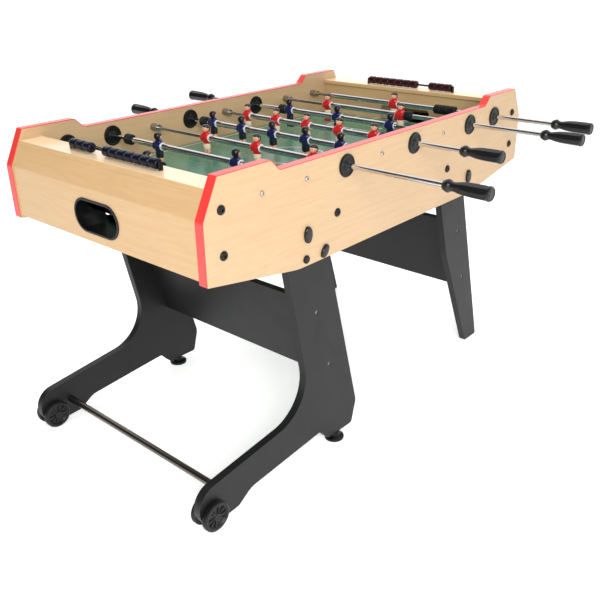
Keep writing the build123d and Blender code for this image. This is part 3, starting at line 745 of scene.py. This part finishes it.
# %% Figure finishes
skin = plain("player_skin", rgb(216, 164, 134), 0.35)
hair = plain("player_hair", rgb(22, 17, 15), 0.3)
white_paint = plain("player_white", rgb(214, 216, 218), 0.3)
shirt_red = plain("player_shirt_red", rgb(186, 18, 20), 0.3, Coat_Weight=0.2)
shirt_blue = plain("player_shirt_blue", rgb(14, 20, 70), 0.3, Coat_Weight=0.15)
shorts_cream = plain("player_shorts_cream", rgb(222, 204, 176), 0.35)
shorts_black = plain("player_shorts_black", rgb(18, 18, 22), 0.35)
boot_red = plain("player_boot_red", rgb(150, 22, 26), 0.3)
boot_black = plain("player_boot_black", rgb(20, 18, 20), 0.3)
SHIRT, SKIN, HAIR, SHORTS, BOOT, WHITE = range(6)
TEAM = {
    -1: [shirt_red, skin, hair, shorts_cream, boot_red, white_paint],
    1: [shirt_blue, skin, hair, shorts_black, boot_black, white_paint],
}
print("two teams' colours made")

# %% Figure parts


def loft(bm, rings, finish, steps=16):
    """A closed form through level ellipses given as (x, y, z, half length, half width)."""
    loops = []
    for x, y, z, rx, ry in rings:
        place = Matrix.Translation(Vector((x, y, z)) * MM) @ Matrix.Diagonal((rx * MM, ry * MM, 1, 1))
        made = bmesh.ops.create_circle(bm, segments=steps, radius=1.0, matrix=place)
        loops.append(list({edge for vert in made["verts"] for edge in vert.link_edges}))
    faces = []
    for lower, upper in zip(loops, loops[1:]):
        faces += bmesh.ops.bridge_loops(bm, edges=lower + upper)["faces"]
    for end in (loops[0], loops[-1]):
        faces += bmesh.ops.contextual_create(bm, geom=end)["faces"]
    for face in faces:
        face.material_index = finish


def ringed(bm, outline, side, finish):
    """A ring round the rod, turned from a closed outline."""
    before = len(bm.faces)
    lathe(bm, outline, Vector((0, 0, 0)), side, 32, closed=True)
    bm.faces.ensure_lookup_table()
    for face in bm.faces[before:]:
        face.material_index = finish


def clothes(bm):
    """The shirt, the shorts, and the hub that the rod runs through, with its white rims."""
    loft(bm, [(0, 0, -17, 8.8, 11.4), (0, 0, -14, 9.8, 12.6), (0, 0, -6, 10.4, 13.4),
              (0, 0, 4, 10.8, 14.0), (0, 0, 11, 10.2, 13.8), (0, 0, 15, 8.2, 11.4),
              (0, 0, 18, 5.0, 6.4)], SHIRT, 20)
    loft(bm, [(0, 0, -33, 7.6, 11.0), (0, 0, -31, 8.8, 12.2), (0, 0, -23, 9.4, 12.6),
              (0, 0, -15, 9.0, 11.6)], SHORTS, 20)
    ringed(bm, [(-15.4, 8.05), (-15.4, 10.8), (-14.0, 12.2), (14.0, 12.2), (15.4, 10.8),
                (15.4, 8.05)], 1, SHIRT)
    for side in (-1, 1):
        ringed(bm, [(15.2, 8.1), (15.2, 10.2), (15.7, 10.9), (16.2, 10.6), (16.5, 9.9),
                    (16.5, 8.1)], side, WHITE)


def leg(bm, y):
    """A leg, its sock and its boot."""
    loft(bm, [(0.5, y, -48, 4.6, 5.0), (-0.8, y, -41, 5.0, 5.2), (-0.6, y, -36, 5.8, 5.6),
              (0.0, y, -31, 6.2, 5.8)], SKIN, 14)
    loft(bm, [(0.0, y, -49, 5.4, 5.6), (-0.6, y, -44, 5.6, 5.6), (-0.7, y, -42.5, 5.2, 5.3)],
         BOOT, 14)
    loft(bm, [(3.2, y, -54, 10.0, 5.6), (3.4, y, -52.6, 10.6, 6.0), (2.6, y, -49, 9.4, 5.8),
              (0.6, y, -45.5, 6.4, 5.4)], BOOT, 16)


def head(bm):
    """The neck, the head, its cap of hair, and a toy's nose."""
    loft(bm, [(0.4, 0, 14, 5.2, 5.4), (0.8, 0, 20, 5.0, 5.0)], SKIN, 12)
    loft(bm, [(1.8, 0, 16.6, 4.8, 4.8), (1.8, 0, 18.6, 7.8, 7.4), (1.4, 0, 22, 9.4, 9.0),
              (0.9, 0, 27, 10.2, 9.8), (0.6, 0, 31.5, 9.2, 8.8), (0.4, 0, 34.8, 5.8, 5.6)], SKIN, 20)
    loft(bm, [(-4.0, 0, 18.4, 5.6, 7.4), (-3.5, 0, 21.5, 7.8, 9.6), (-2.4, 0, 26, 9.4, 10.6),
              (-0.8, 0, 30, 11.0, 10.5), (-0.2, 0, 33.4, 10.0, 9.2), (-0.2, 0, 36.0, 6.4, 6.0),
              (-0.2, 0, 36.9, 2.6, 2.6)], HAIR, 20)
    loft(bm, [(10.9, 0, 23.0, 1.3, 1.7), (11.3, 0, 24.4, 1.6, 1.6), (10.6, 0, 27.4, 0.9, 0.9)],
         SKIN, 8)


def eye_and_ear(bm, y):
    """The eye and the ear of one side."""
    loft(bm, [(9.9, y, 26.2, 0.8, 1.1), (10.1, y, 27.1, 0.9, 1.3), (9.7, y, 28.0, 0.8, 1.0)], HAIR, 8)
    loft(bm, [(0.2, y * 3.1, 22.4, 1.5, 0.9), (0.2, y * 3.2, 25.0, 2.0, 1.1),
              (0.0, y * 3.1, 27.6, 1.6, 0.9)], SKIN, 8)


def player():
    """The whole figure as a mesh round the origin, facing +X."""
    bm = bmesh.new()
    clothes(bm)
    head(bm)
    for side in (-1, 1):
        leg(bm, side * 6.2)
        eye_and_ear(bm, side * 3.2)
    bmesh.ops.recalc_face_normals(bm, faces=bm.faces)
    mesh = bpy.data.meshes.new("player")
    bm.to_mesh(mesh)
    bm.free()
    return mesh


PLAYER = player()
print("a player has", len(PLAYER.polygons), "faces")

# %% Players on their rods
MEN_GAP = 0.03


def men_places(node):
    """Middles of the separate figures in a node, found as the gaps in its points along y."""
    ys = sorted(v.co.y for v in frame["nodes"][node].data.vertices)
    gaps = [(a, b) for a, b in zip(ys, ys[1:]) if b - a > MEN_GAP]
    starts = [ys[0]] + [b for _, b in gaps]
    ends = [a for a, _ in gaps] + [ys[-1]]
    return [(a + b) / 2 for a, b in zip(starts, ends)]


for n in RODS:
    bm = bmesh.new()
    for y in men_places(f"rod_{n}_men"):
        before = len(bm.verts)
        bm.from_mesh(PLAYER)
        bm.verts.ensure_lookup_table()
        fresh = bm.verts[before:]
        if HANDLE_SIDE[n] < 0:
            bmesh.ops.rotate(bm, cent=(0, 0, 0), matrix=Matrix.Rotation(pi, 3, "Z"), verts=fresh)
        bmesh.ops.translate(bm, vec=Vector((ROD_X[n], y, ROD_Z)), verts=fresh)
    piece(bm, f"rod_{n}_players", f"rod_{n}_men", TEAM[HANDLE_SIDE[n]], 40)
print("players placed")

# %% [markdown]
# ## Floor, light and camera
# A pale floor and an even, bright surround give a studio look. Chrome only looks like chrome
# when it has something dark to reflect, so glossy rays see a dark wall on the wheeled side of
# the table and a bright one beyond it, while everything else is lit evenly. Three large soft
# lamps shape the cabinet. The camera stands off the wheeled corner, a little above the table.

# %% Floor
EDGE = 60.0
bm = bmesh.new()
bmesh.ops.create_grid(bm, x_segments=1, y_segments=1, size=EDGE)
floor_mesh = bpy.data.meshes.new("floor")
bm.to_mesh(floor_mesh)
bm.free()
FLOOR_TONE, FLOOR_GLOW = (0.93, 0.93, 0.93, 1.0), 0.45
floor_paint, _, floor_shader = material("floor_white", FLOOR_TONE, 0.8)
floor_shader.inputs["Emission Color"].default_value = (1, 1, 1, 1)
floor_shader.inputs["Emission Strength"].default_value = FLOOR_GLOW
floor_mesh.materials.append(floor_paint)
floor = bpy.data.objects.new("floor", floor_mesh)
bpy.context.scene.collection.objects.link(floor)

# %% Light
world = bpy.data.worlds.new("studio")
world.use_nodes = True
sky = world.node_tree
room = sky.nodes["Background"]
path = put(sky, "ShaderNodeLightPath")
bearing = put(sky, "ShaderNodeSeparateXYZ", {0: put(sky, "ShaderNodeTexCoord").outputs["Generated"]})
from_wheels = math(sky, "MULTIPLY", math(sky, "ADD", bearing.outputs[0], 1.0), 0.5)
walls = put(sky, "ShaderNodeValToRGB", {0: from_wheels})
EVEN, WHITE_ROOM = (0.62, 0.62, 0.62, 1.0), (1.0, 1.0, 1.0, 1.0)
WALL_TONES = ((0.0, 0.12), (0.30, 0.05), (0.43, 0.05), (0.49, 1.2), (1.0, 1.35))
while len(walls.color_ramp.elements) < len(WALL_TONES):
    walls.color_ramp.elements.new(0.5)
for stop, (place, tone) in zip(walls.color_ramp.elements, WALL_TONES):
    stop.position = place
    stop.color = (tone, tone, tone, 1.0)
seen = mix(sky, path.outputs["Is Glossy Ray"], EVEN, walls.outputs[0])
seen = mix(sky, path.outputs["Is Camera Ray"], seen, WHITE_ROOM)
sky.links.new(seen, room.inputs["Color"])
bpy.context.scene.world = world


LAMP_AIM = Vector((0, 0, 0.6))


def lamp(name, place, size, power):
    """A square area lamp, turned to look at the table's middle."""
    data = bpy.data.lights.new(name, "AREA")
    data.size = size
    data.energy = power
    obj = bpy.data.objects.new(name, data)
    obj.location = place
    aim = LAMP_AIM - Vector(place)
    obj.rotation_euler = aim.to_track_quat("-Z", "Y").to_euler()
    bpy.context.scene.collection.objects.link(obj)
    return obj


lamp("key", (-2.5, -2.9, 2.3), 1.8, 135)
lamp("fill", (-4.2, 1.0, 2.0), 2.4, 14).visible_glossy = False
lamp("top", (0.3, 0.6, 4.4), 3.0, 80).visible_glossy = False
bpy.context.scene.view_settings.view_transform = "Standard"
print("three lamps set")

# %% Camera
ROD_CENTRE = Vector((CENTRE.x, CENTRE.y, ROD_Z))
CAMERA_FROM_CENTRE = Vector((-1.6277, -1.4717, 0.4682))
TURN, TILT, ROLL = -48.39, 24.96, -1.02
LENS, SENSOR = 44.69, 36.0
lens = bpy.data.cameras.new("camera")
lens.lens = LENS
lens.sensor_width = SENSOR
camera = bpy.data.objects.new("camera", lens)
facing = Matrix.Rotation(radians(TURN), 4, "Z") @ Matrix.Rotation(radians(90 - TILT), 4, "X")
facing = facing @ Matrix.Rotation(radians(ROLL), 4, "Z")
camera.matrix_world = Matrix.Translation(ROD_CENTRE + CAMERA_FROM_CENTRE) @ facing
bpy.context.scene.collection.objects.link(camera)
bpy.context.scene.camera = camera
print("camera at", [round(c, 3) for c in camera.matrix_world.translation])

# %% [markdown]
# ## The end

# %% Import json
import json
